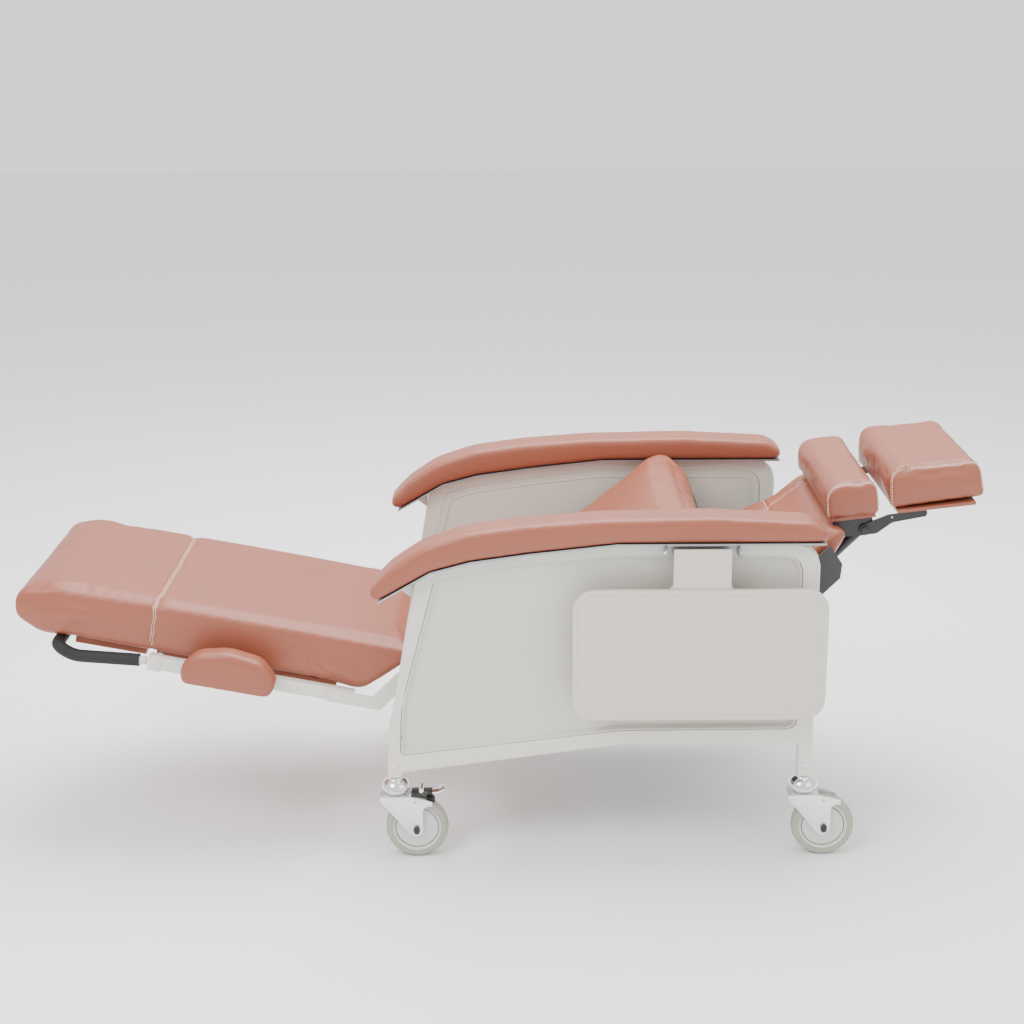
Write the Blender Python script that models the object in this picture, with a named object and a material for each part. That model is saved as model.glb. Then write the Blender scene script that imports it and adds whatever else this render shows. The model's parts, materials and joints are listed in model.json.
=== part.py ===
"""Patient recliner chair on four casters, in its reclined position. Metres, +Z up, +X to the head end."""
import math

import bmesh
import bpy
from mathutils import Matrix, Vector

# Side frames
FRAME_OUTER_Y = 0.333
TUBE = 0.028
LEG_FOOT_Z = 0.172
FRONT_LEG_X = -0.213
REAR_LEG_X = 0.608
PANEL_GAP = 0.0006

# Armrests
ARM_CENTRE_Y = 0.3175
ARM_WIDTH = 0.088
PLATE_THICKNESS = 0.004

# Casters
WHEEL_RADIUS = 0.0635
TYRE_WIDTH = 0.032
HUB_RADIUS = 0.049
CASTER_TRAIL = 0.042

# Motion axes, as (X, Z), and slopes at rest in degrees
BACK_PIVOT = (0.608, 0.519)
BACK_SLOPE = 45.0
NECK_PIVOT_U = 0.178
TUBE_Y = 0.165
TUBE_RADIUS = 0.010
HEAD_SLOPE = 6.5
SEAT_PIVOT = (0.100, 0.450)
SEAT_SLOPE = 38.0
KNEE_PIVOT = (-0.160, 0.400)
LEG_SLOPE = 11.0
SEAM_FROM_KNEE = 0.540
TRAY_PIVOT = (-0.366, 0.6555)

# Cushions
SEAT_HALF_WIDTH = 0.262
CALF_HALF_WIDTH = 0.250
BACK_HALF_WIDTH = 0.236
NECK_HALF_WIDTH = 0.200
HEAD_HALF_WIDTH = 0.185

VINYL = ("vinyl", (0.50, 0.21, 0.15), 0.42, 0.0)
WHITE = ("frame_white", (0.66, 0.64, 0.57), 0.45, 0.0)
PANEL = ("panel_white", (0.62, 0.60, 0.53), 0.55, 0.0)
TRAY = ("tray_plastic", (0.60, 0.57, 0.50), 0.45, 0.0)
BLACK = ("black_steel", (0.02, 0.02, 0.022), 0.4, 0.3)
FOAM = ("foam_grip", (0.015, 0.015, 0.016), 0.85, 0.0)
GREY = ("rear_cloth", (0.06, 0.06, 0.065), 0.8, 0.0)
CHROME = ("chrome", (0.80, 0.80, 0.82), 0.12, 1.0)
ZINC = ("zinc", (0.78, 0.79, 0.80), 0.3, 0.8)
TYRE = ("tyre", (0.33, 0.34, 0.28), 0.7, 0.0)
HUB = ("hub", (0.62, 0.58, 0.56), 0.4, 0.0)
PLATE = ("plate_steel", (0.45, 0.45, 0.46), 0.35, 0.8)


def clear_scene():
    for old in list(bpy.data.objects):
        bpy.data.objects.remove(old, do_unlink=True)


def material(spec):
    name, colour, roughness, metallic = spec
    found = bpy.data.materials.get(name)
    if found:
        return found
    made = bpy.data.materials.new(name)
    made.use_nodes = True
    shader = made.node_tree.nodes["Principled BSDF"]
    shader.inputs["Base Color"].default_value = (*colour, 1.0)
    shader.inputs["Roughness"].default_value = roughness
    shader.inputs["Metallic"].default_value = metallic
    return made


def pivot(name, x, y, z, slope=0.0, parent=None):
    """An empty on a motion axis. Its local +X rises towards the head end at slope degrees."""
    empty = bpy.data.objects.new(name + "_axis", None)
    bpy.context.scene.collection.objects.link(empty)
    world = Matrix.Translation((x, y, z)) @ Matrix.Rotation(math.radians(-slope), 4, "Y")
    if parent:
        empty.parent = parent
        empty.matrix_local = parent.matrix_world.inverted() @ world
    else:
        empty.matrix_local = world
    bpy.context.view_layer.update()
    return empty


def add(name, bm, spec, parent=None, at=(0, 0, 0), smooth=True):
    bmesh.ops.recalc_face_normals(bm, faces=bm.faces)
    mesh = bpy.data.meshes.new(name)
    bm.to_mesh(mesh)
    bm.free()
    mesh.materials.append(material(spec))
    if smooth:
        mesh.shade_smooth()
        mesh.set_sharp_from_angle(angle=math.radians(35))
    made = bpy.data.objects.new(name, mesh)
    bpy.context.scene.collection.objects.link(made)
    made.location = at
    made.parent = parent
    return made


def rounded(points, radii, steps=4):
    """A closed (x, z) outline with each corner turned into an arc of its own radius."""
    outline = []
    count = len(points)
    for i, (point, radius) in enumerate(zip(points, radii)):
        here = Vector(point)
        to_last = (Vector(points[i - 1]) - here).normalized()
        to_next = (Vector(points[(i + 1) % count]) - here).normalized()
        if radius <= 0:
            outline.append(here)
            continue
        half = to_last.angle(to_next) / 2
        centre = here + (to_last + to_next).normalized() * (radius / math.sin(half))
        start = here + to_last * (radius / math.tan(half)) - centre
        end = here + to_next * (radius / math.tan(half)) - centre
        turn = start.angle_signed(end)
        for k in range(steps + 1):
            angle = -turn * k / steps
            spun = Vector((start.x * math.cos(angle) - start.y * math.sin(angle),
                           start.x * math.sin(angle) + start.y * math.cos(angle)))
            outline.append(centre + spun)
    return outline


def prism(outline, y0, y1, bevel=0.0, segments=2):
    """An (x, z) outline extruded along Y, with its long edges bevelled where asked."""
    bm = bmesh.new()
    near = [bm.verts.new((p[0], y0, p[1])) for p in outline]
    face = bm.faces.new(near)
    out = bmesh.ops.extrude_face_region(bm, geom=[face])
    moved = [v for v in out["geom"] if isinstance(v, bmesh.types.BMVert)]
    bmesh.ops.translate(bm, verts=moved, vec=(0, y1 - y0, 0))
    if bevel:
        rims = [e for e in bm.edges if abs(e.verts[0].co.y - e.verts[1].co.y) < 1e-9]
        bmesh.ops.bevel(bm, geom=rims, offset=bevel, segments=segments, profile=0.5,
                        affect="EDGES", material=-1, clamp_overlap=True)
    return bm


def mirrored_pair(name, outline, y_in, y_out, spec, parent=None, bevel=0.0):
    """The same outline on the left side (-Y) and on the right side (+Y)."""
    for side, sign in (("left", -1), ("right", 1)):
        y0, y1 = sorted((sign * y_in, sign * y_out))
        add(f"{name}_{side}", prism(outline, y0, y1, bevel), spec, parent)


def box(low, high, bevel=0.0):
    outline = [(low[0], low[2]), (high[0], low[2]), (high[0], high[2]), (low[0], high[2])]
    return prism(outline, low[1], high[1], bevel)


def disc(radius, y0, y1, sides=24, centre=(0, 0)):
    outline = [(centre[0] + radius * math.cos(2 * math.pi * k / sides),
                centre[1] + radius * math.sin(2 * math.pi * k / sides)) for k in range(sides)]
    return prism(outline, y0, y1)


def spun(profile, steps=24):
    """A closed (radius, z) profile turned round Z. Points on the axis have radius 0."""
    bm = bmesh.new()
    ring = [bm.verts.new((r, 0, z)) for r, z in profile]
    edges = [bm.edges.new((a, b)) for a, b in zip(ring, ring[1:])]
    if profile[0][0] > 0:
        edges.append(bm.edges.new((ring[-1], ring[0])))
    bmesh.ops.spin(bm, geom=ring + edges, cent=(0, 0, 0), axis=(0, 0, 1), dvec=(0, 0, 0),
                   angle=2 * math.pi, steps=steps, use_merge=True, use_duplicate=False)
    bmesh.ops.remove_doubles(bm, verts=bm.verts, dist=1e-6)
    return bm


def turn_to_y(bm):
    bmesh.ops.rotate(bm, verts=bm.verts, cent=(0, 0, 0), matrix=Matrix.Rotation(math.pi / 2, 3, "X"))
    return bm


def bent_tube(name, points, radius, spec, parent=None, corner=0.03, fill=True):
    """A round tube along a path of straight runs with rounded corners."""
    path = [Vector(points[0])]
    for before, here, after in zip(points, points[1:], points[2:]):
        here = Vector(here)
        start = here + (Vector(before) - here).normalized() * corner
        end = here + (Vector(after) - here).normalized() * corner
        path += [start.lerp(here, t).lerp(here.lerp(end, t), t) for t in (0, 0.2, 0.4, 0.6, 0.8, 1)]
    path.append(Vector(points[-1]))
    curve = bpy.data.curves.new(name, "CURVE")
    curve.dimensions = "3D"
    curve.bevel_depth = radius
    curve.bevel_resolution = 2
    curve.use_fill_caps = fill
    spline = curve.splines.new("POLY")
    spline.points.add(len(path) - 1)
    for point, place in zip(spline.points, path):
        point.co = (*place, 1)
    curve.materials.append(material(spec))
    made = bpy.data.objects.new(name, curve)
    bpy.context.scene.collection.objects.link(made)
    made.parent = parent
    return made


def guide(bm):
    """A hidden shape that a Boolean reads."""
    bmesh.ops.recalc_face_normals(bm, faces=bm.faces)
    mesh = bpy.data.meshes.new("guide")
    bm.to_mesh(mesh)
    bm.free()
    made = bpy.data.objects.new("guide", mesh)
    bpy.context.scene.collection.objects.link(made)
    made.hide_render = True
    made.display_type = "WIRE"
    return made


def boolean(target, bm, operation):
    """Joins a local shape to the target, or cuts it away."""
    helper = guide(bm)
    helper.parent = target
    step = target.modifiers.new(operation.lower(), "BOOLEAN")
    step.operation = operation
    step.object = helper
    step.solver = "EXACT"


def moved(bm, x=0.0, y=0.0, z=0.0):
    bmesh.ops.translate(bm, verts=bm.verts, vec=(x, y, z))
    return bm


def both_sides():
    return (("left", -1), ("right", 1))


# Fixed structure

ARM_UNDERSIDE = [(-0.236, 0.556), (-0.134, 0.615), (-0.056, 0.636), (0.059, 0.652), (0.226, 0.670), (0.628, 0.670)]
ARM_TOP = [(0.640, 0.688), (0.600, 0.712), (0.415, 0.722), (0.200, 0.719), (0.050, 0.708), (-0.062, 0.693),
           (-0.150, 0.664), (-0.212, 0.622), (-0.252, 0.580), (-0.254, 0.560)]


def lowered(line, drop):
    return [(x, z - drop) for x, z in line]


def side_frames():
    top = lowered(ARM_UNDERSIDE[1:5], 2 * PLATE_THICKNESS)
    rear = REAR_LEG_X + TUBE / 2
    outline = [(-0.228, LEG_FOOT_Z), (-0.224, 0.278), (-0.206, 0.364), (-0.188, 0.469), (-0.166, 0.588)]
    radii = [0.003, 0.2, 0.2, 0.2, 0.012]
    outline += top + [(rear, 0.662), (rear, LEG_FOOT_Z), (rear - TUBE, LEG_FOOT_Z), (rear - TUBE, 0.246)]
    radii += [0.02, 0.1, 0.2, 0.2, 0.045, 0.003, 0.003, 0.010]
    outline += [(0.244, 0.244), (-0.199, 0.184), (-0.199, LEG_FOOT_Z)]
    radii += [0.1, 0.006, 0.003]
    for side, sign in both_sides():
        y0, y1 = sorted((sign * (FRAME_OUTER_Y - TUBE), sign * FRAME_OUTER_Y))
        frame = add(f"side_frame_{side}", prism(rounded(outline, radii, 3), y0, y1, 0.003, 1), WHITE)
        boolean(frame, prism(panel_outline(1.003), -0.4, 0.4), "DIFFERENCE")
        inner = sign * (FRAME_OUTER_Y - TUBE + 0.0004)
        y0, y1 = sorted((inner, sign * (FRAME_OUTER_Y - TUBE / 2)))
        add(f"side_panel_{side}", prism(panel_outline(1.0), y0, y1), PANEL)


def panel_outline(scale):
    """The recessed sheet inside the frame, scaled about its middle."""
    points = [(-0.196, 0.332), (-0.128, 0.586), (-0.056, 0.606), (0.059, 0.622), (0.226, 0.640), (0.588, 0.638),
              (0.588, 0.276), (0.237, 0.274), (-0.201, 0.222)]
    radii = [0.2, 0.014, 0.1, 0.2, 0.2, 0.035, 0.02, 0.1, 0.012]
    middle = Vector((0.200, 0.435))
    return [middle + (p - middle) * scale for p in rounded(points, radii, 3)]


def armrests():
    pad = lowered(ARM_UNDERSIDE, -0.0003) + ARM_TOP
    radii = [0.01] + [0] * 4 + [0.008, 0.014, 0.03] + [0.1] * 5 + [0.08, 0.02, 0.008]
    thick = PLATE_THICKNESS
    plate = ARM_UNDERSIDE + lowered(ARM_UNDERSIDE[::-1], thick)
    for side, sign in both_sides():
        y0, y1 = sorted((sign * (ARM_CENTRE_Y - ARM_WIDTH / 2), sign * (ARM_CENTRE_Y + ARM_WIDTH / 2)))
        add(f"armrest_pad_{side}", prism(rounded(pad, radii, 2), y0, y1, 0.016, 3), VINYL)
        add(f"armrest_plate_{side}", prism([Vector(p) for p in plate], y0 + 0.004, y1 - 0.004), PLATE)


def cross_members():
    inside = FRAME_OUTER_Y - TUBE - 0.0005
    add("cross_tube_rear", moved(disc(0.011, -inside, inside, 16), 0.36, 0, 0.259), WHITE)
    add("cross_tube_front", moved(disc(0.011, -inside, inside, 16), 0.04, 0, 0.235), WHITE)
    lug = [(0.010, 0.166), (0.026, 0.163), (0.050, 0.2235), (0.030, 0.2235)]
    add("lock_lug", prism([Vector(p) for p in lug], -0.20, -0.18, 0.002, 1), WHITE)


def casters():
    places = {"front_left": (FRONT_LEG_X, -1), "front_right": (FRONT_LEG_X, 1),
              "rear_left": (REAR_LEG_X, -1), "rear_right": (REAR_LEG_X, 1)}
    for name, (x, sign) in places.items():
        y = sign * (FRAME_OUTER_Y - TUBE / 2)
        swivel = pivot(f"{name}_swivel", x, y, 0)
        caster_head(name, x, y)
        caster_fork(name, swivel)
        wheel = pivot(f"{name}_wheel", x + CASTER_TRAIL, y, WHEEL_RADIUS)
        caster_wheel(name, wheel)
        if name.startswith("front"):
            pedal = [(0.0315, 0.1372), (0.090, 0.1372), (0.100, 0.146), (0.096, 0.149), (0.086, 0.1415), (0.0315, 0.1415)]
            add(f"{name}_brake_pedal", prism([Vector(p) for p in pedal], -0.014, 0.014), BLACK, swivel)


def caster_head(name, x, y):
    profile = [(0, 0.1372), (0.027, 0.1372), (0.0295, 0.141), (0.0295, 0.149), (0.022, 0.156), (0.0135, 0.158),
               (0.0135, LEG_FOOT_Z - 0.0004), (0, LEG_FOOT_Z - 0.0004)]
    add(f"{name}_caster_head", spun(profile[::-1]), CHROME, at=(x, y, 0))


def caster_fork(name, swivel):
    reach = TYRE_WIDTH / 2 + 0.007
    slot = TYRE_WIDTH / 2 + 0.003
    points = [(-0.027, 0.1365), (-0.027, 0.126), (0.024, 0.048), (0.060, 0.048), (0.060, 0.078), (0.029, 0.1365)]
    fork = add(f"{name}_caster_fork", prism(rounded(points, [0.002, 0.01, 0.014, 0.014, 0.014, 0.002], 3),
                                            -reach, reach), ZINC, swivel)
    boolean(fork, box((-0.1, -slot, 0.0), (0.15, slot, 0.1305)), "DIFFERENCE")
    boolean(fork, disc(0.0048, -reach - 0.003, reach + 0.003, 12, (CASTER_TRAIL, WHEEL_RADIUS)), "UNION")


def caster_wheel(name, wheel):
    half = TYRE_WIDTH / 2
    tyre = [(HUB_RADIUS + 0.0004, -half), (WHEEL_RADIUS - 0.006, -half), (WHEEL_RADIUS - 0.001, -half * 0.6),
            (WHEEL_RADIUS, 0), (WHEEL_RADIUS - 0.001, half * 0.6), (WHEEL_RADIUS - 0.006, half),
            (HUB_RADIUS + 0.0004, half)]
    hub = [(0.0054, -half), (0.012, -half), (0.014, -half + 0.004), (0.042, -half + 0.004), (HUB_RADIUS, -half + 0.001),
           (HUB_RADIUS, half - 0.001), (0.042, half - 0.004), (0.014, half - 0.004), (0.012, half), (0.0054, half)]
    add(f"{name}_tyre", turn_to_y(spun(tyre, 32)), TYRE, wheel)
    add(f"{name}_hub", turn_to_y(spun(hub, 24)), HUB, wheel)


# Back, neck and head

def back_section():
    back = pivot("back", BACK_PIVOT[0], 0, BACK_PIVOT[1], BACK_SLOPE)
    bent_tube("back_frame", [(0.192, -TUBE_Y, 0), (-0.24, -TUBE_Y, 0), (-0.24, TUBE_Y, 0), (0.192, TUBE_Y, 0)],
              TUBE_RADIUS, BLACK, back)
    cushion = [(-0.25, 0.013), (0.100, 0.013), (0.070, 0.055), (-0.020, 0.090), (-0.25, 0.090)]
    add("back_cushion", prism(rounded(cushion, [0.02, 0.01, 0.02, 0.05, 0.03], 3), -BACK_HALF_WIDTH,
                              BACK_HALF_WIDTH, 0.012, 2), VINYL, back)
    back_cover(back)
    for side, sign in both_sides():
        y0, y1 = sorted((sign * 0.2458, sign * (FRAME_OUTER_Y - TUBE - 0.0005)))
        add(f"back_pivot_pin_{side}", disc(0.009, y0, y1, 16), BLACK, back)
    neck_section(back)


def back_cover(back):
    """A channel behind the back frame, open to the front."""
    edge = BACK_HALF_WIDTH + 0.009
    points = [(-0.262, -0.019), (0.080, -0.019), (0.103, 0.000), (0.112, 0.045), (-0.262, 0.045)]
    cover = add("back_rear_cover", prism([Vector(p) for p in points], -edge, edge), GREY, back)
    boolean(cover, box((-0.5, -edge + 0.004, -0.014), (0.5, edge - 0.004, 0.2)), "DIFFERENCE")


def neck_section(back):
    at = back.matrix_world @ Vector((NECK_PIVOT_U, 0, 0))
    neck = pivot("neck", at.x, 0, at.z, HEAD_SLOPE)
    bracket = TUBE_Y + TUBE_RADIUS + 0.0015
    plate = [(-0.062, 0.0228), (-0.062, -0.008), (-0.030, -0.013), (0.010, -0.014), (0.018, 0.0), (0.018, 0.0228)]
    mirrored_pair("neck_bracket", rounded(plate, [0.003, 0.01, 0.02, 0.012, 0.008, 0.003], 3),
                  bracket, bracket + 0.0035, BLACK, neck)
    add("neck_board", box((-0.066, -0.184, 0.0235), (0.024, 0.184, 0.0305)), BLACK, neck)
    block = [(-0.077, 0.031), (0.033, 0.031), (0.031, 0.102), (-0.072, 0.102)]
    add("neck_cushion", prism(rounded(block, [0.006, 0.008, 0.018, 0.030], 3), -NECK_HALF_WIDTH,
                              NECK_HALF_WIDTH, 0.012, 2), VINYL, neck)
    head = pivot("head", at.x, 0, at.z, HEAD_SLOPE)
    arm = [(-0.006, -0.010), (0.022, -0.012), (0.056, 0.008), (0.125, 0.013), (0.128, 0.0252), (0.050, 0.0252),
           (0.004, 0.012)]
    mirrored_pair("head_arm", rounded(arm, [0.008, 0.02, 0.02, 0.005, 0.003, 0.02, 0.01], 3),
                  bracket + 0.004, bracket + 0.008, BLACK, head)
    add("head_board", box((0.068, -0.1845, 0.0256), (0.225, 0.1845, 0.0325)), BLACK, head)
    block = [(0.053, 0.033), (0.249, 0.038), (0.242, 0.114), (0.060, 0.118)]
    add("head_cushion", prism(rounded(block, [0.006, 0.008, 0.022, 0.022], 3), -HEAD_HALF_WIDTH,
                              HEAD_HALF_WIDTH, 0.012, 2), VINYL, head)


# Seat and leg rest

def seat_section():
    seat = pivot("seat", SEAT_PIVOT[0], 0, SEAT_PIVOT[1], SEAT_SLOPE)
    cushion = [(-0.224, 0.108), (-0.130, 0.062), (-0.030, 0.041), (0.372, 0.041), (0.366, -0.0845), (-0.152, -0.0845)]
    add("seat_cushion", prism(rounded(cushion, [0.006, 0.1, 0.2, 0.035, 0.015, 0.01], 3), -SEAT_HALF_WIDTH,
                              SEAT_HALF_WIDTH, 0.010, 2), VINYL, seat)
    add("seat_board", box((-0.135, -0.2695, -0.0975), (0.350, 0.2695, -0.0855)), BLACK, seat)
    plate = [(-0.250, 0.112), (-0.246, 0.136), (-0.226, 0.138), (-0.020, 0.022), (0.022, 0.016), (0.110, -0.080),
             (0.110, -0.098), (-0.110, -0.098)]
    for side, sign in both_sides():
        y0, y1 = sorted((sign * 0.2702, sign * 0.2742))
        made = add(f"seat_side_plate_{side}", prism([Vector(p) for p in plate], y0, y1), BLACK, seat)
        y0, y1 = sorted((sign * 0.2722, sign * (FRAME_OUTER_Y - TUBE - 0.0002)))
        boolean(made, disc(0.009, y0, y1, 16), "UNION")


def leg_rest():
    legs = pivot("leg_rest", KNEE_PIVOT[0], 0, KNEE_PIVOT[1], -LEG_SLOPE)
    end = -SEAM_FROM_KNEE
    for side, sign in both_sides():
        y0, y1 = sorted((sign * 0.237, sign * 0.263))
        rail = add(f"leg_rail_{side}", box((end, y0, -0.121), (-0.120, y1, -0.095), 0.003), WHITE, legs)
        ear = [(-0.175, -0.121), (-0.062, -0.121), (0.014, 0.000), (0.004, 0.014), (-0.010, 0.012), (-0.082, -0.095),
               (-0.175, -0.095)]
        boolean(rail, prism([Vector(p) for p in ear], *sorted((sign * 0.2640, sign * 0.2685))), "UNION")
        joint = sorted((sign * 0.2550, sign * 0.2660))
        boolean(rail, box((-0.172, joint[0], -0.118), (-0.130, joint[1], -0.099)), "UNION")
        bolster(side, sign, legs)
    add("leg_board", box((end + 0.01, -0.2200, -0.108), (-0.160, 0.2200, -0.0945)), BLACK, legs)
    cushion = [(end + 0.0015, 0.010), (-0.016, 0.010), (-0.006, -0.002), (-0.098, -0.0938), (end + 0.0015, -0.0938)]
    add("calf_cushion", prism(rounded(cushion, [0.004, 0.008, 0.006, 0.01, 0.004], 3), -CALF_HALF_WIDTH,
                              CALF_HALF_WIDTH, 0.012, 2), VINYL, legs)
    foot_section(legs)


def bolster(side, sign, legs):
    points = [(-0.285, -0.118), (-0.462, -0.118), (-0.470, -0.085), (-0.440, -0.050), (-0.380, -0.036),
              (-0.310, -0.045), (-0.272, -0.085)]
    y0, y1 = sorted((sign * 0.2690, sign * 0.3240))
    add(f"leg_bolster_{side}", prism(rounded(points, [0.006, 0.006, 0.02, 0.03, 0.06, 0.03, 0.02], 2), y0, y1,
                                     0.010, 2), VINYL, legs)


def foot_section(legs):
    """The foot end folds up about the sewn seam at the top of the pad."""
    at = legs.matrix_world @ Vector((-SEAM_FROM_KNEE, 0, 0.010))
    foot = pivot("foot", at.x, 0, at.z, -LEG_SLOPE)
    cushion = [(-0.0015, 0.0), (-0.0015, -0.1038), (-0.235, -0.1038), (-0.292, -0.075), (-0.292, -0.020), (-0.215, 0.0)]
    add("foot_cushion", prism(rounded(cushion, [0.004, 0.004, 0.05, 0.025, 0.025, 0.09], 3), -CALF_HALF_WIDTH,
                              CALF_HALF_WIDTH, 0.012, 2), VINYL, foot)
    add("foot_board", box((-0.155, -0.2200, -0.1180), (-0.010, 0.2200, -0.1043)), BLACK, foot)
    path = [(-0.004, -0.250, -0.1185), (-0.150, -0.250, -0.135), (-0.186, -0.250, -0.119)]
    path += [(x, -y, z) for x, y, z in path[::-1]]
    bent_tube("foot_bar", path, 0.013, FOAM, foot, corner=0.018)


# Side tray

def side_tray():
    tray = pivot("tray", 0.39, TRAY_PIVOT[0], TRAY_PIVOT[1])
    panel = [(-0.249, -0.3405), (0.245, -0.3405), (0.245, -0.0725), (0.075, -0.0725), (0.055, -0.060), (0.055, 0.006),
             (-0.055, 0.006), (-0.055, -0.060), (-0.075, -0.0725), (-0.249, -0.0725)]
    radii = [0.043, 0.043, 0.043, 0.01, 0.012, 0.004, 0.004, 0.012, 0.01, 0.043]
    add("side_tray", prism(rounded(panel, radii, 4), -0.014, 0.0, 0.003, 2), TRAY, tray)
    ear = [(-0.380, 0.646), (-0.335, 0.646), (-0.335, 0.6650), (-0.374, 0.6650)]
    bm = bmesh.new()
    profile = [bm.verts.new((0.318, y, z)) for y, z in ear]
    out = bmesh.ops.extrude_face_region(bm, geom=[bm.faces.new(profile)])
    far = [v for v in out["geom"] if isinstance(v, bmesh.types.BMVert)]
    bmesh.ops.translate(bm, verts=far, vec=(0.144, 0, 0))
    hanger = add("tray_hanger", bm, PLATE)
    boolean(hanger, box((0.322, -0.5, 0.6), (0.458, -0.342, 0.7)), "DIFFERENCE")


def main():
    clear_scene()
    side_frames()
    armrests()
    cross_members()
    casters()
    back_section()
    seat_section()
    leg_rest()
    side_tray()


main()
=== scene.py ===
import json
import math

import bmesh
import bpy
from mathutils import Matrix, Vector
from mathutils.bvhtree import BVHTree


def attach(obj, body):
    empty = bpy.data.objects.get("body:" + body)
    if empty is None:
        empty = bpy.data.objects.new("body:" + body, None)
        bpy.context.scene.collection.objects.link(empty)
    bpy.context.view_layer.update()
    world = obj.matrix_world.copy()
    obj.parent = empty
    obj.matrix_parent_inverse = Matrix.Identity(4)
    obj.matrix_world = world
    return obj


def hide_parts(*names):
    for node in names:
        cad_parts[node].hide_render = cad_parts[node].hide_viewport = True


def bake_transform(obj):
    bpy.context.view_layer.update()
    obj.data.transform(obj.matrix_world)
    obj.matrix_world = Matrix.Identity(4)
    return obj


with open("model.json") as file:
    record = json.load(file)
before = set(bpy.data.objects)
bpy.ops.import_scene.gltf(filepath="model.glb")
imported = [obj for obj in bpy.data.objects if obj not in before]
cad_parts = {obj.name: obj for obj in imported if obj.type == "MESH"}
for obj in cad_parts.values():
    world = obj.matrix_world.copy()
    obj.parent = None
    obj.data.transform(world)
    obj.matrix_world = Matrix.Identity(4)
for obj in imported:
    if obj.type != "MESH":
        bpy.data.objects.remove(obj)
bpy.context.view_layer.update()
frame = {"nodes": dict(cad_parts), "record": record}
print("frame loaded")

slopes = {"back": math.radians(45), "head": math.radians(6.5), "seat": math.radians(38),
          "legs": math.radians(-11)}
pivots = {"back": (0.608, 0.519), "neck": (0.73387, 0.64487), "seat": (0.100, 0.450), "knee": (-0.160, 0.400)}
seamAlong = 0.540
cameraSettings = {"place": (0.035, -3.6057, 1.6912), "pitch": 16.38, "yaw": 0.173, "roll": 0.364,
                  "lens": 62.5}


def toWorld(group, pivot, u, v, y=0.0):
    # a point in a tilted part's own plane, u along it towards the head end and v out of its face
    angle = slopes[group]
    px, pz = pivots[pivot]
    return Vector((px + u * math.cos(angle) - v * math.sin(angle), y,
                   pz + u * math.sin(angle) + v * math.cos(angle)))


# ---- materials: one shared grain group, placed in each finish with its own values

def grainGroup():
    group = bpy.data.node_groups.new("surfaceGrain", "ShaderNodeTree")
    face = group.interface
    face.new_socket("Vector", in_out="INPUT", socket_type="NodeSocketVector")
    for name, value in (("Scale", 400.0), ("Tone", 0.1), ("Roughness", 0.5), ("Roughness Spread", 0.1),
                        ("Pebble", 0.5)):
        face.new_socket(name, in_out="INPUT", socket_type="NodeSocketFloat").default_value = value
    face.new_socket("Color", in_out="INPUT", socket_type="NodeSocketColor")
    face.new_socket("Color", in_out="OUTPUT", socket_type="NodeSocketColor")
    face.new_socket("Roughness", in_out="OUTPUT", socket_type="NodeSocketFloat")
    face.new_socket("Height", in_out="OUTPUT", socket_type="NodeSocketFloat")
    nodes, links = group.nodes, group.links
    enter = nodes.new("NodeGroupInput")
    leave = nodes.new("NodeGroupOutput")
    cloud = nodes.new("ShaderNodeTexNoise")
    cloud.inputs["Scale"].default_value = 6.0
    cloud.inputs["Detail"].default_value = 4.0
    links.new(enter.outputs["Vector"], cloud.inputs["Vector"])
    pebble = nodes.new("ShaderNodeTexVoronoi")
    links.new(enter.outputs["Vector"], pebble.inputs["Vector"])
    links.new(enter.outputs["Scale"], pebble.inputs["Scale"])
    fine = nodes.new("ShaderNodeTexNoise")
    fine.inputs["Detail"].default_value = 3.0
    links.new(enter.outputs["Vector"], fine.inputs["Vector"])
    links.new(enter.outputs["Scale"], fine.inputs["Scale"])
    height = mixFloat(nodes, links, enter.outputs["Pebble"], fine.outputs["Fac"], pebble.outputs["Distance"])
    centred = mathNode(nodes, links, "SUBTRACT", cloud.outputs["Fac"], 0.5)
    tone = mathNode(nodes, links, "MULTIPLY_ADD", centred, enter.outputs["Tone"], 1.0)
    fineTone = mathNode(nodes, links, "SUBTRACT", height, 0.5)
    fineShare = mathNode(nodes, links, "MULTIPLY", enter.outputs["Tone"], 0.3)
    fullTone = mathNode(nodes, links, "MULTIPLY_ADD", fineTone, fineShare, tone)
    colour = nodes.new("ShaderNodeVectorMath")
    colour.operation = "SCALE"
    links.new(enter.outputs["Color"], colour.inputs[0])
    links.new(fullTone, colour.inputs["Scale"])
    links.new(colour.outputs[0], leave.inputs["Color"])
    rough = mathNode(nodes, links, "MULTIPLY_ADD", centred, enter.outputs["Roughness Spread"],
                     enter.outputs["Roughness"])
    links.new(rough, leave.inputs["Roughness"])
    links.new(height, leave.inputs["Height"])
    return group


def mathNode(nodes, links, operation, *values):
    node = nodes.new("ShaderNodeMath")
    node.operation = operation
    for socket, value in zip(node.inputs, values):
        if isinstance(value, (int, float)):
            socket.default_value = value
        else:
            links.new(value, socket)
    return node.outputs[0]


def mixFloat(nodes, links, factor, a, b):
    node = nodes.new("ShaderNodeMix")
    node.data_type = "FLOAT"
    links.new(factor, node.inputs[0])
    links.new(a, node.inputs[2])
    links.new(b, node.inputs[3])
    return node.outputs[0]


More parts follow.
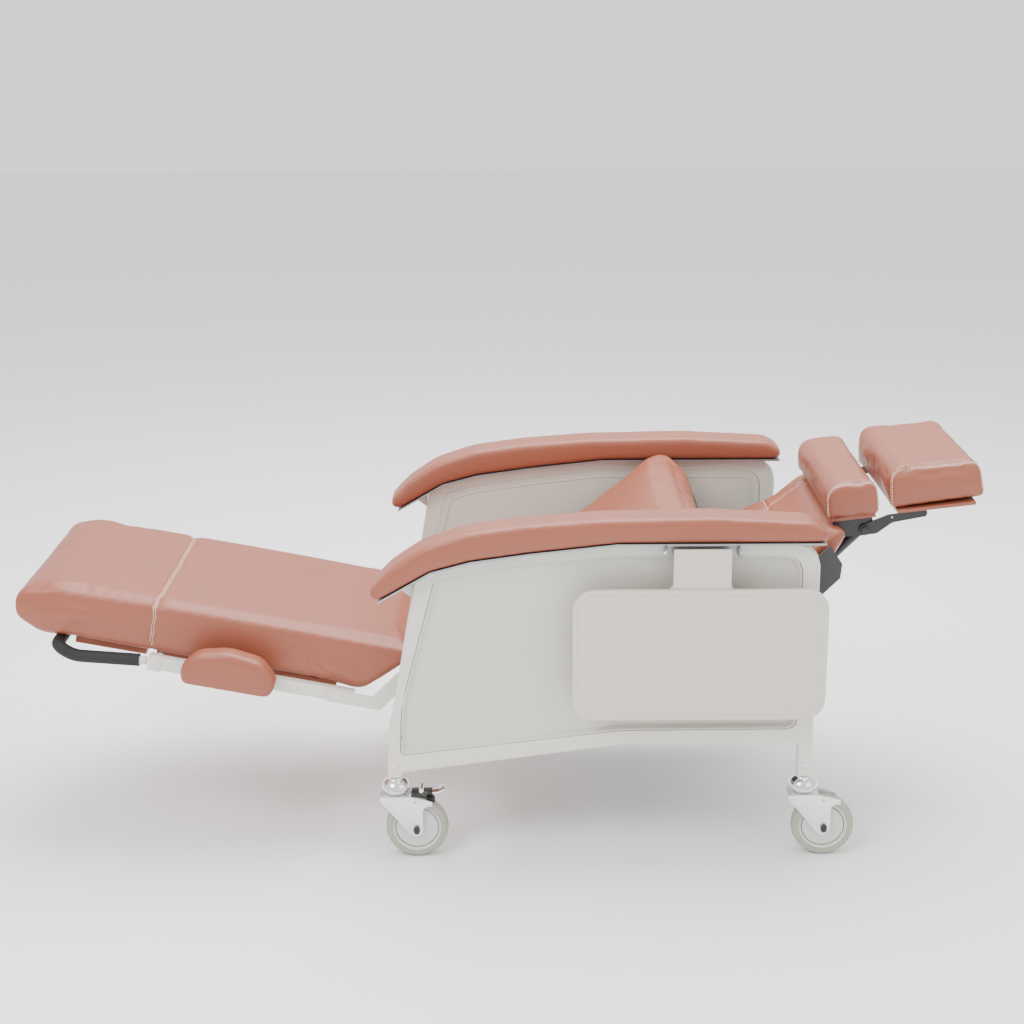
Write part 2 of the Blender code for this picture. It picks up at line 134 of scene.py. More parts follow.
def makeFinish(name, colour, look, grain):
    made = bpy.data.materials.new(name)
    made.use_nodes = True
    made.diffuse_color = (*look["flat"], 1) if "flat" in look else (*colour, 1)
    nodes, links = made.node_tree.nodes, made.node_tree.links
    shader = nodes["Principled BSDF"]
    place = nodes.new("ShaderNodeTexCoord")
    group = nodes.new("ShaderNodeGroup")
    group.node_tree = grain
    links.new(place.outputs["Object"], group.inputs["Vector"])
    group.inputs["Color"].default_value = (*colour, 1)
    group.inputs["Scale"].default_value = look["scale"]
    group.inputs["Tone"].default_value = look["tone"]
    group.inputs["Roughness"].default_value = look["rough"]
    group.inputs["Roughness Spread"].default_value = look["spread"]
    group.inputs["Pebble"].default_value = look["pebble"]
    links.new(group.outputs["Color"], shader.inputs["Base Color"])
    links.new(group.outputs["Roughness"], shader.inputs["Roughness"])
    shader.inputs["Metallic"].default_value = look.get("metal", 0.0)
    shader.inputs["Coat Weight"].default_value = look.get("coat", 0.0)
    shader.inputs["Coat Roughness"].default_value = 0.25
    bump = nodes.new("ShaderNodeBump")
    bump.inputs["Strength"].default_value = look["bump"]
    bump.inputs["Distance"].default_value = look["depth"]
    links.new(group.outputs["Height"], bump.inputs["Height"])
    links.new(bump.outputs["Normal"], shader.inputs["Normal"])
    return made


looks = {
    "vinyl": ((0.285, 0.080, 0.043),
        {"scale": 900, "tone": 0.12, "rough": 0.42, "spread": 0.12, "pebble": 0.8,
         "bump": 0.35, "depth": 0.0004, "coat": 0.04}),
    "frame_white": ((0.68, 0.66, 0.60),
        {"scale": 700, "tone": 0.05, "rough": 0.45, "spread": 0.1, "pebble": 0.4,
         "bump": 0.12, "depth": 0.0003}),
    "panel_white": ((0.64, 0.62, 0.555),
        {"scale": 420, "tone": 0.08, "rough": 0.5, "spread": 0.1, "pebble": 0.6,
         "bump": 0.5, "depth": 0.0006}),
    "tray_plastic": ((0.62, 0.58, 0.51),
        {"scale": 600, "tone": 0.05, "rough": 0.45, "spread": 0.08, "pebble": 0.6,
         "bump": 0.3, "depth": 0.0004}),
    "black_steel": ((0.014, 0.014, 0.015),
        {"scale": 500, "tone": 0.4, "rough": 0.33, "spread": 0.15, "pebble": 0.3,
         "bump": 0.08, "depth": 0.0003}),
    "foam_grip": ((0.012, 0.012, 0.013),
        {"scale": 500, "tone": 0.5, "rough": 0.75, "spread": 0.1, "pebble": 0.9,
         "bump": 0.5, "depth": 0.0006}),
    "rear_cloth": ((0.055, 0.056, 0.060),
        {"scale": 800, "tone": 0.3, "rough": 0.7, "spread": 0.1, "pebble": 0.7,
         "bump": 0.4, "depth": 0.0005}),
    "chrome": ((0.80, 0.80, 0.81),
        {"scale": 300, "tone": 0.04, "rough": 0.12, "spread": 0.08, "pebble": 0.2,
         "bump": 0.02, "depth": 0.0002, "metal": 1.0}),
    "zinc": ((0.80, 0.81, 0.83),
        {"scale": 350, "tone": 0.08, "rough": 0.32, "spread": 0.15, "pebble": 0.4,
         "bump": 0.06, "depth": 0.0003, "metal": 0.75}),
    "tyre": ((0.34, 0.35, 0.28),
        {"scale": 500, "tone": 0.15, "rough": 0.6, "spread": 0.15, "pebble": 0.6,
         "bump": 0.2, "depth": 0.0005}),
    "hub": ((0.63, 0.60, 0.58),
        {"scale": 500, "tone": 0.05, "rough": 0.4, "spread": 0.1, "pebble": 0.4,
         "bump": 0.1, "depth": 0.0003}),
    "plate_steel": ((0.36, 0.36, 0.38),
        {"scale": 500, "tone": 0.12, "rough": 0.35, "spread": 0.15, "pebble": 0.3,
         "bump": 0.06, "depth": 0.0003, "metal": 0.8}),
    "thread": ((0.86, 0.72, 0.58),
        {"scale": 2500, "tone": 0.2, "rough": 0.7, "spread": 0.1, "pebble": 0.3,
         "bump": 0.3, "depth": 0.0002}),
}
grain = grainGroup()
finishes = {name: makeFinish(name + "_finish", colour, look, grain) for name, (colour, look) in looks.items()}
slotOf = {part["node"]: part["material_slot"] for part in frame["record"]["subparts"]}
for nodeName, piece in frame["nodes"].items():
    piece.data.materials.clear()
    piece.data.materials.append(finishes[slotOf[nodeName]])
print("finishes made")


# ---- mesh helpers

def newPiece(name, bm, finish, body, smoothAngle=35):
    mesh = bpy.data.meshes.new(name)
    bm.to_mesh(mesh)
    bm.free()
    mesh.shade_smooth()
    if smoothAngle:
        mesh.set_sharp_from_angle(angle=math.radians(smoothAngle))
    piece = bpy.data.objects.new(name, mesh)
    bpy.context.scene.collection.objects.link(piece)
    mesh.materials.append(finishes[finish])
    if body:
        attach(piece, body)
    return piece


def copyNode(*names):
    # CAD nodes as one bmesh with its loose triangles joined
    bm = bmesh.new()
    for name in names:
        bm.from_mesh(frame["nodes"][name].data)
    bmesh.ops.remove_doubles(bm, verts=bm.verts, dist=0.00005)
    return bm


def lathe(profile, steps=64):
    bm = bmesh.new()
    ring = [bm.verts.new((r, 0, z)) for r, z in profile]
    edges = [bm.edges.new(pair) for pair in zip(ring, ring[1:])]
    if profile[0][0] > 0 and profile[-1][0] > 0:
        edges.append(bm.edges.new((ring[-1], ring[0])))
    bmesh.ops.spin(bm, geom=ring + edges, cent=(0, 0, 0), axis=(0, 0, 1), dvec=(0, 0, 0),
                   angle=2 * math.pi, steps=steps, use_merge=True, use_duplicate=False)
    bmesh.ops.remove_doubles(bm, verts=bm.verts, dist=0.000002)
    bmesh.ops.recalc_face_normals(bm, faces=bm.faces)
    return bm


def placeMesh(bm, place, axis=(0, 0, 1)):
    turn = Vector((0, 0, 1)).rotation_difference(Vector(axis)).to_matrix().to_4x4()
    bmesh.ops.transform(bm, matrix=Matrix.Translation(place) @ turn, verts=bm.verts)
    return bm


def prismXZ(points, y0, y1, bevel=0.002, segments=3):
    bm = bmesh.new()
    base = bm.faces.new([bm.verts.new((x, y0, z)) for x, z in points])
    out = bmesh.ops.extrude_face_region(bm, geom=[base])
    far = [v for v in out["geom"] if isinstance(v, bmesh.types.BMVert)]
    bmesh.ops.translate(bm, verts=far, vec=(0, y1 - y0, 0))
    bmesh.ops.recalc_face_normals(bm, faces=bm.faces)
    if bevel:
        bmesh.ops.bevel(bm, geom=list(bm.edges), offset=bevel, segments=segments, profile=0.5,
                        affect="EDGES", material=-1, clamp_overlap=True)
    return bm


# ---- padded pieces

pads = {"voxel": 0.006, "frames": 20, "pressure": 4.0, "tension": 15.0}


def meshFrom(piece):
    evaluated = piece.evaluated_get(bpy.context.evaluated_depsgraph_get())
    return bpy.data.meshes.new_from_object(evaluated)


def applyModifiers(piece):
    fresh = meshFrom(piece)
    piece.modifiers.clear()
    old = piece.data
    piece.data = fresh
    bpy.data.meshes.remove(old)


def stuffed(name, bm, shrink, cap, voxel, soften=6, simulate=True):
    # shrinks a plain solid, remeshes it evenly, and lets it swell like stuffed vinyl, never further than cap
    low = Vector([min(v.co[i] for v in bm.verts) for i in range(3)])
    high = Vector([max(v.co[i] for v in bm.verts) for i in range(3)])
    middle = (low + high) / 2
    factor = [1 - 2 * shrink / max(high[i] - low[i], 0.01) for i in range(3)]
    for v in bm.verts:
        v.co = middle + Vector([(v.co[i] - middle[i]) * factor[i] for i in range(3)])
    bmesh.ops.recalc_face_normals(bm, faces=bm.faces)
    mesh = bpy.data.meshes.new(name)
    bm.to_mesh(mesh)
    bm.free()
    piece = bpy.data.objects.new(name, mesh)
    bpy.context.scene.collection.objects.link(piece)
    remesh = piece.modifiers.new("even", "REMESH")
    remesh.mode = "VOXEL"
    remesh.voxel_size = voxel
    smooth = piece.modifiers.new("soften", "SMOOTH")
    smooth.factor = 0.5
    smooth.iterations = soften
    applyModifiers(piece)
    if simulate:
        swell(piece, cap)
    return piece


def swell(piece, cap):
    rest = [v.co.copy() for v in piece.data.vertices]
    cloth = piece.modifiers.new("swell", "CLOTH")
    settings = cloth.settings
    settings.quality = 5
    settings.mass = 0.3
    settings.tension_stiffness = pads["tension"]
    settings.compression_stiffness = pads["tension"]
    settings.bending_stiffness = 0.5
    settings.use_pressure = True
    settings.uniform_pressure_force = pads["pressure"]
    settings.effector_weights.gravity = 0.0
    cloth.collision_settings.use_collision = False
    scene = bpy.context.scene
    cloth.point_cache.frame_start = 1
    cloth.point_cache.frame_end = pads["frames"]
    for number in range(1, pads["frames"] + 1):
        scene.frame_set(number)
    applyModifiers(piece)
    for vertex, start in zip(piece.data.vertices, rest):
        shift = vertex.co - start
        if shift.length > cap:
            vertex.co = start + shift * (cap / shift.length)
    scene.frame_set(1)


def groove(piece, path, width, depth):
    # presses a sewn line into the surface along a path of points
    import numpy as np
    count = len(piece.data.vertices)
    co = np.zeros(count * 3)
    normal = np.zeros(count * 3)
    piece.data.vertices.foreach_get("co", co)
    piece.data.vertex_normals.foreach_get("vector", normal)
    co = co.reshape(-1, 3)
    normal = normal.reshape(-1, 3)
    nearest = np.full(count, 1.0)
    for point in path:
        nearest = np.minimum(nearest, np.linalg.norm(co - np.array(point), axis=1))
    push = depth * np.exp(-(nearest / width) ** 2)
    co -= normal * push[:, None]
    piece.data.vertices.foreach_set("co", co.ravel())
    piece.data.update()


def onSurface(piece, points):
    mesh = piece.data
    tree = BVHTree.FromPolygons([v.co for v in mesh.vertices], [list(p.vertices) for p in mesh.polygons])
    found = []
    for point in points:
        place, normal, _, _ = tree.find_nearest(point)
        found.append((place, normal))
    return found


def evenly(points, step):
    # resamples a path of points to equal steps
    result = [points[0].copy()]
    left = step
    for a, b in zip(points, points[1:]):
        run = (b - a).length
        at = 0.0
        while run - at >= left:
            at += left
            result.append(a.lerp(b, at / run))
            left = step
        left -= run - at
    return result


stitchSize = {"length": 0.0044, "gap": 0.0018, "thick": 0.0011, "between": 0.0045}


def stitches(name, piece, path, body, double=True, blendTo=None):
    # short thread stitches lying on the surface beside a sewn line
    step = stitchSize["length"] + stitchSize["gap"]
    spots = onSurface(piece, evenly(path, step))
    bm = bmesh.new()
    for (here, normal), (after, _) in zip(spots, spots[1:]):
        along = after - here
        if along.length < step * 0.3:
            continue
        along.normalize()
        across = along.cross(normal).normalized()
        for side in ((-1, 1) if double else (0,)):
            middle = here + across * side * stitchSize["between"] / 2 + normal * 0.0002
            made = bmesh.ops.create_cube(bm, size=1.0)["verts"]
            turn = Matrix((along, across, normal)).transposed().to_4x4()
            size = Matrix.Diagonal((stitchSize["length"], stitchSize["thick"], stitchSize["thick"], 1))
            bmesh.ops.transform(bm, matrix=Matrix.Translation(middle) @ turn @ size, verts=made)
    bmesh.ops.bevel(bm, geom=list(bm.edges), offset=0.0002, segments=1, profile=0.5, affect="EDGES",
                    material=-1)
    thread = newPiece(name, bm, "thread", None if blendTo else body, 0)
    if blendTo:
        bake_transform(thread)
    return thread


def finishPad(piece, body, nodes, levels=1, blendTo=None):
    if levels:
        fine = piece.modifiers.new("fine", "SUBSURF")
        fine.levels = levels
        fine.render_levels = levels
        applyModifiers(piece)
    piece.data.materials.clear()
    piece.data.materials.append(finishes["vinyl"])
    piece.data.shade_smooth()
    if blendTo:
        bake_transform(piece)
    else:
        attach(piece, body)
    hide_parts(*nodes)
    return piece


# ---- the cushions

def legPad():
    # calf and foot ends are one sewn pad with a seam pressed across it
    pad = stuffed("leg_pad", copyNode("calf_cushion", "foot_cushion"), 0.003, 0.007, pads["voxel"], soften=26)
    seam = [toWorld("legs", "knee", -seamAlong, v, y) for v, y in
            [(-0.08, -0.27), (0.0, -0.27), (0.05, -0.22), (0.06, 0.0), (0.05, 0.22), (0.0, 0.27),
             (-0.08, 0.27)]]
    seamPath = [place for place, _ in onSurface(pad, evenly(seam, 0.006))]
    groove(pad, seamPath, 0.006, 0.004)
    dimple = [toWorld("legs", "knee", -seamAlong, 0.02, 0.0)]
    groove(pad, dimple, 0.030, 0.004)
    start = toWorld("legs", "knee", -seamAlong + 0.035, 0)
    end = toWorld("legs", "knee", -seamAlong - 0.035, 0)
    finishPad(pad, "legrest", ["calf_cushion", "foot_cushion"], blendTo=("foot", start, end))
    stitches("leg_pad_stitching", pad, seamPath, "legrest", blendTo=("foot", start, end))


def endSeam(piece, group, pivot, low, high, radius, y, sign):
    # a sewn line round the end face: up one side, over the top and down the other
    (u0, v0), (u1, v1) = low, high
    corners = [(u0, v0), (u0, v1), (u1, v1), (u1, v0)]
    path = []
    for k in range(1, 3):
        here = Vector(corners[k])
        before = here + (Vector(corners[k - 1]) - here).normalized() * radius
        after = here + (Vector(corners[k + 1]) - here).normalized() * radius
        path += [before.lerp(here, t).lerp(here.lerp(after, t), t) for t in (0, 0.25, 0.5, 0.75, 1)]
    path = [Vector(corners[0])] + path + [Vector(corners[3])]
    spread = [toWorld(group, pivot, u, v, sign * y) for u, v in path]
    return [place for place, _ in onSurface(piece, evenly(spread, 0.005))]


def headPads():
    settings = {
        "neck": ("neck_cushion", 0.200, (-0.078, 0.036), (0.034, 0.106), 0.020, 0.8),
        "headrest": ("head_cushion", 0.185, (0.052, 0.042), (0.249, 0.122), 0.016, 0.8),
    }
    for body, (node, half, low, high, radius, fill) in settings.items():
        pad = stuffed(body + "_pad", copyNode(node), 0.001, 0.0035, 0.005, soften=5)
        seams = [endSeam(pad, "head", "neck", low, high, radius, half - 0.006, sign) for sign in (-1, 1)]
        for seam in seams:
            groove(pad, seam, 0.004, 0.0022)
        if body == "headrest":
            tuck = [toWorld("head", "neck", 0.075 + 0.006 * k, 0.108 + 0.0015 * k, -0.176) for k in range(4)]
            groove(pad, tuck, 0.008, 0.006)
        finishPad(pad, body, [node])
        for side, seam in zip(("left", "right"), seams):
            stitches(f"{body}_stitching_{side}", pad, seam, body)


def seatPad():
    pad = stuffed("seat_pad", copyNode("seat_cushion"), 0.002, 0.008, pads["voxel"], soften=8)
    finishPad(pad, "seat", ["seat_cushion"])


def backPad():
    # slack vinyl from the back frame up to the underside of the neck pad
    outline = [(-0.245, 0.016), (0.100, 0.016), (0.160, 0.030), (0.158, 0.048), (0.070, 0.060),
               (-0.020, 0.086),
               (-0.245, 0.086)]
    points = [toWorld("back", "back", u, v) for u, v in outline]
    bm = prismXZ([(p.x, p.z) for p in points], -0.232, 0.232, 0.006, 2)
    pad = stuffed("back_pad", bm, 0.003, 0.008, pads["voxel"], soften=5)
    seam = [toWorld("back", "back", u, 0.1, y)
            for u, y in ((-0.05, 0.10), (0.03, 0.13), (0.09, 0.15), (0.15, 0.15))]
    lines = []
    for sign in (-1, 1):
        side = [Vector((p.x, sign * p.y, p.z)) for p in seam]
        lines.append([place for place, _ in onSurface(pad, evenly(side, 0.005))])
    cross = [toWorld("back", "back", 0.045, 0.1, y) for y in (-0.22, -0.1, 0.0, 0.1, 0.22)]
    lines.append([place for place, _ in onSurface(pad, evenly(cross, 0.005))])
    for line in lines:
        groove(pad, line, 0.005, 0.004)
    start = toWorld("back", "back", 0.075, 0)
    end = toWorld("back", "back", 0.150, 0)
    finishPad(pad, "back", ["back_cushion"], blendTo=("neck", start, end))
    for number, line in enumerate(lines):
        stitches(f"back_stitching_{number}", pad, line, "back", double=False, blendTo=("neck", start, end))


def armPads():
    for side in ("left", "right"):
        node = "armrest_pad_" + side
        pad = stuffed("arm_pad_" + side, copyNode(node), 0.0005, 0.002, 0.005, soften=26, simulate=False)
        finishPad(pad, "root", [node])
        node = "leg_bolster_" + side
        pad = stuffed("leg_side_pad_" + side, copyNode(node), 0.0005, 0.002, 0.004, soften=34, simulate=False)
        finishPad(pad, "legrest", [node])


legPad()
print("leg pad made")
headPads()
seatPad()
backPad()
print("back, seat and head pads made")
armPads()
print("arm pads made")


# ---- casters

casterSettings = {"wheel": 0.0635, "tyreHalf": 0.016, "hub": 0.0488, "trail": 0.042, "legY": 0.319,
                  "legX": {"front": -0.213, "rear": 0.608}, "forkInner": 0.0192, "forkOuter": 0.0228}


def arcXZ(centre, radius, fromDegrees, toDegrees, steps=8):
    angles = [math.radians(fromDegrees + (toDegrees - fromDegrees) * k / steps) for k in range(steps + 1)]
    return [(centre[0] + radius * math.cos(a), centre[1] + radius * math.sin(a)) for a in angles]


hubHalf = [(0.0056, 0.0150), (0.0120, 0.0150), (0.0135, 0.0138), (0.0150, 0.0115), (0.0415, 0.0108),
           (0.0424, 0.0098), (0.0434, 0.0098), (0.0440, 0.0112), (0.0470, 0.0140),
           (casterSettings["hub"], 0.0142)]
hubRing = [(0.0425, 0.0099), (0.0425, 0.0106), (0.0433, 0.0106), (0.0433, 0.0099)]
headProfile = [(0, 0.1718), (0.0150, 0.1718), (0.0150, 0.1690), (0.0175, 0.1675), (0.0235, 0.1630),
               (0.0275, 0.1575), (0.0292, 0.1520), (0.0296, 0.1500), (0.0280, 0.1488), (0.0280, 0.1470),
               (0.0262, 0.1462), (0.0262, 0.1440), (0.0245, 0.1425), (0.0220, 0.1395), (0.0190, 0.1366),
               (0, 0.1366)]
axleProfile = [(0, -0.0235), (0.0048, -0.0235), (0.0048, 0.0235), (0, 0.0235)]
axleCap = [(0, 0.0302), (0.0030, 0.0298), (0.0055, 0.0285), (0.0068, 0.0260), (0.0064, 0.0225), (0, 0.0225)]
rivetProfile = [(0, 0.0240), (0.0022, 0.0236), (0.0026, 0.0226), (0, 0.0226)]
rollerProfile = [(0, -0.0145), (0.0042, -0.0145), (0.0048, -0.0138), (0.0048, 0.0138), (0.0042, 0.0145),
                 (0, 0.0145)]


def join(*parts):
    whole = bmesh.new()
    for part in parts:
        mesh = bpy.data.meshes.new("part")
        part.to_mesh(mesh)
        part.free()
        whole.from_mesh(mesh)
        bpy.data.meshes.remove(mesh)
    return whole


def casterWheel(name, body, centre):
    c = casterSettings
    r, h, hub = c["wheel"], c["tyreHalf"], c["hub"]
    crown = [math.radians(-90 + 18 * k) for k in range(11)]
    tyre = [(hub + 0.0004, -h + 0.001)]
    tyre += [(r - 0.007 + 0.007 * math.cos(a), 0.8 * h * math.sin(a) * 1.25) for a in crown]
    tyre.append((hub + 0.0004, h - 0.001))
    piece = newPiece(name + "_tyre_turned", placeMesh(lathe(tyre, 72), centre, (0, -1, 0)), "tyre", body)
    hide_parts(name + "_tyre")
    profile = [(x, -z) for x, z in hubHalf] + hubHalf[::-1]
    piece = newPiece(name + "_hub_turned", placeMesh(lathe(profile, 72), centre, (0, -1, 0)), "hub", body)
    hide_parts(name + "_hub")
    rings = []
    for side in (-1, 1):
        rings.append(placeMesh(lathe(hubRing, 72), centre, (0, side, 0)))
    newPiece(name + "_hub_line", join(*rings), "black_steel", body)


def casterFork(name, body, x, y):
    c = casterSettings
    outline = [(-0.031, 0.1355), (-0.032, 0.128)] + arcXZ((0.040, 0.0625), 0.0150, 214, 360)
    outline += [(0.0552, 0.100)] + arcXZ((0.0672, 0.102), 0.012, 180, 100, 5)
    outline += [(0.074, 0.1145), (0.074, 0.124), (0.060, 0.129), (0.031, 0.1355)]
    plates = []
    for side in (-1, 1):
        y0, y1 = sorted((side * c["forkInner"], side * c["forkOuter"]))
        plates.append(prismXZ([(x + px, pz) for px, pz in outline], y + y0, y + y1, 0.0008, 2))
    crownPlate = [(-0.031, 0.1315), (0.031, 0.1315), (0.031, 0.1358), (-0.031, 0.1358)]
    top = prismXZ([(x + px, pz) for px, pz in crownPlate], y - c["forkInner"], y + c["forkInner"], 0.0006, 2)
    axle = placeMesh(lathe(axleProfile, 24), (x + c["trail"], y, c["wheel"]), (0, 1, 0))
    piece = newPiece(name + "_fork_plates", join(*plates, top, axle), "zinc", body)
    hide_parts(name + "_caster_fork")
    caps = []
    for side in (-1, 1):
        cap = lathe(axleCap, 32)
        bmesh.ops.scale(cap, vec=(1.0, 1.35, 1.0), verts=cap.verts)
        caps.append(placeMesh(cap, (x + c["trail"], y, c["wheel"]), (0, side, 0)))
    newPiece(name + "_axle_caps", join(*caps), "black_steel", body)
    rivets = [placeMesh(lathe(rivetProfile, 16), (x + 0.040, y, 0.124), (0, side, 0)) for side in (-1, 1)]
    newPiece(name + "_fork_rivets", join(*rivets), "plate_steel", body)


def casterHead(name, x, y):
    head = placeMesh(lathe(headProfile, 64), (x, y, 0))
    piece = newPiece(name + "_swivel_head", head, "chrome", "root", 60)
    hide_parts(name + "_caster_head")


def brakePedal(name, x, y):
    body = name + "_pedal"
    plate = [(0.0315, 0.1375), (0.074, 0.1372), (0.074, 0.1410), (0.0315, 0.1412)]
    lever = prismXZ([(x + px, pz) for px, pz in plate], y - 0.0135, y + 0.0135, 0.0009, 2)
    piece = newPiece(name + "_brake_lever", lever, "black_steel", body)
    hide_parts(name + "_brake_pedal")
    roller = placeMesh(lathe(rollerProfile, 28), (x + 0.052, y, 0.1452), (0, 1, 0))
    tread = [(0.0735, 0.1378), (0.080, 0.1372), (0.090, 0.1385), (0.1000, 0.1465), (0.0965, 0.1490),
             (0.086, 0.1430), (0.0735, 0.1415)]
    tab = prismXZ([(x + px, pz) for px, pz in tread], y - 0.0120, y + 0.0120, 0.0009, 2)
    newPiece(name + "_brake_tread", join(roller, tab), "chrome", body)
    shoe = prismXZ([(x + 0.062, 0.1290), (x + 0.074, 0.1275), (x + 0.079, 0.1200), (x + 0.072, 0.1165),
                    (x + 0.064, 0.1225)], y - 0.012, y + 0.012, 0.001, 2)
    newPiece(name + "_brake_shoe", shoe, "foam_grip", name + "_swivel")


def casters():
    for end, x in casterSettings["legX"].items():
        for side, sign in (("left", -1), ("right", 1)):
            name = f"{end}_{side}"
            y = sign * casterSettings["legY"]
            casterHead(name, x, y)
            casterFork(name, name + "_swivel", x, y)
            casterWheel(name, name + "_wheel", (x + casterSettings["trail"], y, casterSettings["wheel"]))
            if end == "front":
                brakePedal(name, x, y)


# ---- bolts, panels, tray and tubes

def domeBolt(name, place, axis, radius, height, finish, body):
    profile = [(0, height)] + [(radius * math.sin(a), height * math.cos(a) ** 0.8) for a in
                               [math.radians(15 * k) for k in range(1, 6)]] + [(radius * 1.02, 0), (0, 0)]
    newPiece(name, placeMesh(lathe(profile, 28), place, axis), finish, body)


def hexBolt(name, place, axis, radius, height, finish, body):
    bm = bmesh.new()
    bmesh.ops.create_cone(bm, cap_ends=True, segments=6, radius1=radius, radius2=radius, depth=height)
    bmesh.ops.translate(bm, verts=bm.verts, vec=(0, 0, height / 2 + 0.0012))
    bmesh.ops.bevel(bm, geom=list(bm.edges), offset=radius * 0.1, segments=2, profile=0.5, affect="EDGES",
                    material=-1)
    washer = lathe([(0, 0.0014), (radius * 1.35, 0.0014), (radius * 1.4, 0.0008), (radius * 1.4, 0),
                    (0, 0)], 32)
    newPiece(name, placeMesh(join(bm, washer), place, axis), finish, body)


def bolts():
    frameFace = 0.333
    for side, sign in (("left", -1), ("right", 1)):
        out = (0, sign, 0)
        for end, x, z in (("front", -0.2135, 0.198), ("rear", 0.6085, 0.198)):
            domeBolt(f"leg_bolt_{end}_{side}", (x, sign * frameFace, z), out, 0.0058, 0.0035,
                     "chrome", "root")
        domeBolt(f"panel_screw_{side}", (-0.199, sign * frameFace, 0.262), out, 0.0034, 0.0018,
                 "plate_steel", "root")
        pivot = toWorld("head", "neck", 0.0, 0.0, sign * 0.1846)
        hexBolt(f"head_pivot_bolt_{side}", pivot, out, 0.0078, 0.0048, "black_steel", "headrest")
        link = toWorld("head", "neck", -0.047, 0.001, sign * 0.1801)
        hexBolt(f"neck_link_bolt_{side}", link, out, 0.0052, 0.0036, "black_steel", "neck")
        screw = toWorld("head", "neck", 0.056, 0.019, sign * 0.1846)
        domeBolt(f"head_arm_screw_{side}", screw, out, 0.0026, 0.0014, "plate_steel", "headrest")
        gusset = prismXZ([(-0.198, 0.5725), (-0.168, 0.5895), (-0.172, 0.552)], sign * 0.319 - 0.002,
                         sign * 0.319 + 0.002, 0.0006, 2)
        newPiece(f"arm_gusset_{side}", gusset, "frame_white", "root")
        for number, along in enumerate((0.33, 0.42)):
            under = toWorld("legs", "knee", -along, -0.1212, sign * 0.250)
            domeBolt(f"rail_screw_{number}_{side}", under, (-0.19, 0, -0.98), 0.0042, 0.0025,
                     "plate_steel", "legrest")
        collar(side, sign)


def collar(side, sign):
    # sleeve at the end of a leg rail, where the foot bar drops in
    parts = []
    for u0, u1, half in ((-0.5385, -0.512, 0.0145), (-0.5235, -0.5165, 0.0155)):
        square = ((u0, -0.108 - half), (u1, -0.108 - half), (u1, -0.108 + half), (u0, -0.108 + half))
        ring = [toWorld("legs", "knee", u, v) for u, v in square]
        parts.append(prismXZ([(p.x, p.z) for p in ring], sign * 0.250 - half, sign * 0.250 + half, 0.0015, 2))
    newPiece(f"rail_collar_{side}", join(*parts), "frame_white", "legrest")


def nodeOutline(node, level):
    # the ordered X, Z points of the node's edge at one Y level
    bm = copyNode(node)
    bmesh.ops.dissolve_limit(bm, angle_limit=0.01, verts=list(bm.verts), edges=list(bm.edges))
    levelFaces = [f for f in bm.faces if abs(f.calc_center_median().y - level) < 0.002]
    face = max(levelFaces, key=lambda f: f.calc_area())
    points = [Vector((v.co.x, v.co.z)) for v in face.verts]
    bm.free()
    if sum(a.x * b.y - b.x * a.y for a, b in zip(points, points[1:] + points[:1])) < 0:
        points.reverse()
    return points


def inwards(points, distance):
    # a closed outline (anticlockwise) moved inwards, keeping one point for each point
    moved = []
    for before, here, after in zip(points[-1:] + points[:-1], points, points[1:] + points[:1]):
        first, second = (here - before).normalized(), (after - here).normalized()
        normal = Vector((-(first + second).y, (first + second).x)).normalized()
        stretch = max(0.5, normal.dot(Vector((-first.y, first.x))))
        moved.append(here + normal * (distance / stretch))
    return moved


def skin(rings, ringShaped=False):
    # closed form through matching rings of points: its ends are filled, or the last ring meets the first
    bm = bmesh.new()
    loops = []
    for ring in rings:
        verts = [bm.verts.new(p) for p in ring]
        loops.append([bm.edges.new((a, b)) for a, b in zip(verts, verts[1:] + verts[:1])])
    following = loops[1:] + loops[:1] if ringShaped else loops[1:]
    for one, two in zip(loops, following):
        bmesh.ops.bridge_loops(bm, edges=one + two)
    if not ringShaped:
        for end in (loops[0], loops[-1]):
            bmesh.ops.contextual_create(bm, geom=end)
    bmesh.ops.recalc_face_normals(bm, faces=list(bm.faces))
    return bm


panelSection = [(0.0010, 0.3054), (0.0, 0.3064), (0.0, 0.3308), (0.0012, 0.3318), (0.0030, 0.3315),
                (0.0046, 0.3297), (0.0078, 0.3236), (0.0092, 0.3214), (0.0108, 0.3205)]
ribSection = [(0.0, 0.3056), (0.0, 0.3040), (0.0015, 0.3032), (0.0030, 0.3040), (0.0030, 0.3056)]
panelLevel, ribOffset = 0.319, 0.0135


def sidePanels():
    for side, sign in (("left", -1), ("right", 1)):
        outline = nodeOutline("side_panel_" + side, sign * panelLevel)
        rings = [[(p.x, sign * y, p.y) for p in inwards(outline, offset)] for offset, y in panelSection]
        piece = newPiece("side_sheet_" + side, skin(rings), "panel_white", "root", 35)
        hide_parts("side_panel_" + side)
        rib = inwards(outline, ribOffset)
        lip = [[(p.x, sign * y, p.y) for p in inwards(rib, offset)] for offset, y in ribSection]
        newPiece("side_sheet_rib_" + side, skin(lip, ringShaped=True), "panel_white", "root", 35)


traySettings = {"x": (0.141, 0.635), "z": (0.315, 0.583), "corner": 0.043, "face": -0.380, "back": -0.3675}


